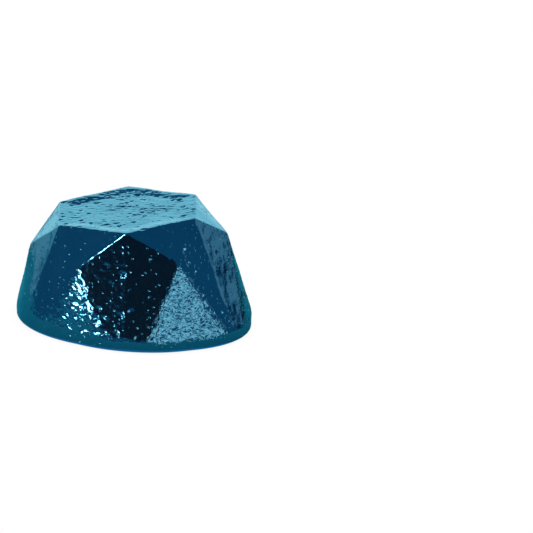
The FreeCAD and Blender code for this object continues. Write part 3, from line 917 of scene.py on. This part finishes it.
def add_room():
    """White to the camera, a dim cool fill in glossy skins and a dim neutral one elsewhere.

    Straight below it is brighter, which lights the underside through the table.
    """
    world = bpy.data.worlds.new("white_room")
    world.use_nodes = True
    tree = world.node_tree
    tree.nodes.clear()
    ray = add_node(tree, "ShaderNodeLightPath")
    tone = add_node(tree, "ShaderNodeMix", {
        0: ray.outputs["Is Glossy Ray"], 6: (*srgb("#E4EAEE"), 1.0),
        7: (*srgb("#38AFEF"), 1.0)}, data_type="RGBA")
    heading = add_node(tree, "ShaderNodeSeparateXYZ", {
        "Vector": add_node(tree, "ShaderNodeTexCoord").outputs["Generated"]})
    strength = add_node(tree, "ShaderNodeMapRange", {
        "Value": heading.outputs["Z"], "From Min": -0.3, "From Max": -0.25,
        "To Min": 0.8, "To Max": 0.32})
    dim = add_node(tree, "ShaderNodeBackground", {
        "Color": tone.outputs[2], "Strength": strength.outputs["Result"]})
    white = add_node(tree, "ShaderNodeBackground", {
        "Color": (*srgb("#FFFFFF"), 1.0), "Strength": 1.0})
    both = add_node(tree, "ShaderNodeMixShader", {
        0: ray.outputs["Is Camera Ray"], 1: dim.outputs["Background"],
        2: white.outputs["Background"]})
    add_node(tree, "ShaderNodeOutputWorld", {"Surface": both.outputs["Shader"]})
    bpy.context.scene.world = world


def add_camera():
    """A long lens from a little above, turned about its own axis, aimed beside the object."""
    back = direction(CAMERA_AZIMUTH, CAMERA_ELEVATION)
    turn = aimed(back)
    data = bpy.data.cameras.new("camera")
    data.sensor_width = 36.0
    data.lens = data.sensor_width * CAMERA_DISTANCE / FRAME_WIDTH
    data.clip_start = 0.1
    data.clip_end = 20.0
    camera = bpy.data.objects.new("camera", data)
    camera.location = (turn @ Vector((AIM_RIGHT, AIM_UP, 0.0))) + back * CAMERA_DISTANCE
    camera.rotation_mode = "QUATERNION"
    camera.rotation_quaternion = turn @ Quaternion((0.0, 0.0, 1.0), CAMERA_ROLL)
    bpy.context.scene.collection.objects.link(camera)
    bpy.context.scene.camera = camera


# ---------------------------------------------------------------- operators and panel


class CUECHALK_OT_cast_holder(bpy.types.Operator):
    """Build the gem-cut holder with its socket"""
    bl_idname = "cue_chalk.cast_holder"
    bl_label = "Cast holder"

    def execute(self, context):
        scene = context.scene
        holder = build_holder(scene.cue_chalk_holder, pearl_resin(scene.cue_chalk_finishes))
        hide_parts("faceted_holder")
        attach(holder, "holder")
        return {"FINISHED"}


class CUECHALK_OT_pressed_chalk(bpy.types.Operator):
    """Build the pressed chalk cube with its cup"""
    bl_idname = "cue_chalk.pressed_chalk"
    bl_label = "Pressed chalk"

    def execute(self, context):
        scene = context.scene
        cube = build_chalk(scene.cue_chalk_cube, pressed_chalk(scene.cue_chalk_finishes))
        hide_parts("chalk_cube")
        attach(cube, "chalk")
        return {"FINISHED"}


class CUECHALK_OT_folded_wrapper(bpy.types.Operator):
    """Build the blank paper wrapper round the cube"""
    bl_idname = "cue_chalk.folded_wrapper"
    bl_label = "Folded wrapper"

    def execute(self, context):
        scene = context.scene
        paper = build_wrapper(scene.cue_chalk_wrapper, thin_paper(scene.cue_chalk_finishes))
        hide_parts("paper_wrapper")
        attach(paper, "chalk")
        return {"FINISHED"}


class CUECHALK_OT_stage(bpy.types.Operator):
    """Set up the white table, the softboxes and the camera"""
    bl_idname = "cue_chalk.stage"
    bl_label = "Stage"

    def execute(self, context):
        context.scene.view_settings.view_transform = "Standard"
        add_room()
        add_floor()
        for row in CARDS:
            add_card(*row)
        for row in SOFTBOXES:
            add_softbox(*row)
        add_camera()
        return {"FINISHED"}


class CUECHALK_PT_panel(bpy.types.Panel):
    """Lists the pieces and their sizes"""
    bl_idname = "CUECHALK_PT_panel"
    bl_label = "Cue chalk"
    bl_space_type = "VIEW_3D"
    bl_region_type = "UI"
    bl_category = "Cue chalk"

    def draw(self, context):
        scene = context.scene
        for operator, group in (("cue_chalk.cast_holder", scene.cue_chalk_holder),
                                ("cue_chalk.pressed_chalk", scene.cue_chalk_cube),
                                ("cue_chalk.folded_wrapper", scene.cue_chalk_wrapper),
                                ("cue_chalk.stage", scene.cue_chalk_finishes)):
            self.layout.operator(operator)
            for key in group.__annotations__:
                self.layout.prop(group, key)


CLASSES = (HolderSizes, ChalkSizes, WrapperSizes, Finishes, CUECHALK_OT_cast_holder,
           CUECHALK_OT_pressed_chalk, CUECHALK_OT_folded_wrapper, CUECHALK_OT_stage,
           CUECHALK_PT_panel)
GROUPS = {"cue_chalk_holder": HolderSizes, "cue_chalk_cube": ChalkSizes,
          "cue_chalk_wrapper": WrapperSizes, "cue_chalk_finishes": Finishes}


def register():
    for item in CLASSES:
        bpy.utils.register_class(item)
    for name, group in GROUPS.items():
        setattr(bpy.types.Scene, name, PointerProperty(type=group))


def unregister():
    for name in GROUPS:
        delattr(bpy.types.Scene, name)
    for item in reversed(CLASSES):
        bpy.utils.unregister_class(item)


def main():
    register()
    bpy.ops.cue_chalk.cast_holder()
    bpy.ops.cue_chalk.pressed_chalk()
    bpy.ops.cue_chalk.folded_wrapper()
    bpy.ops.cue_chalk.stage()


if __name__ == "__main__":
    main()
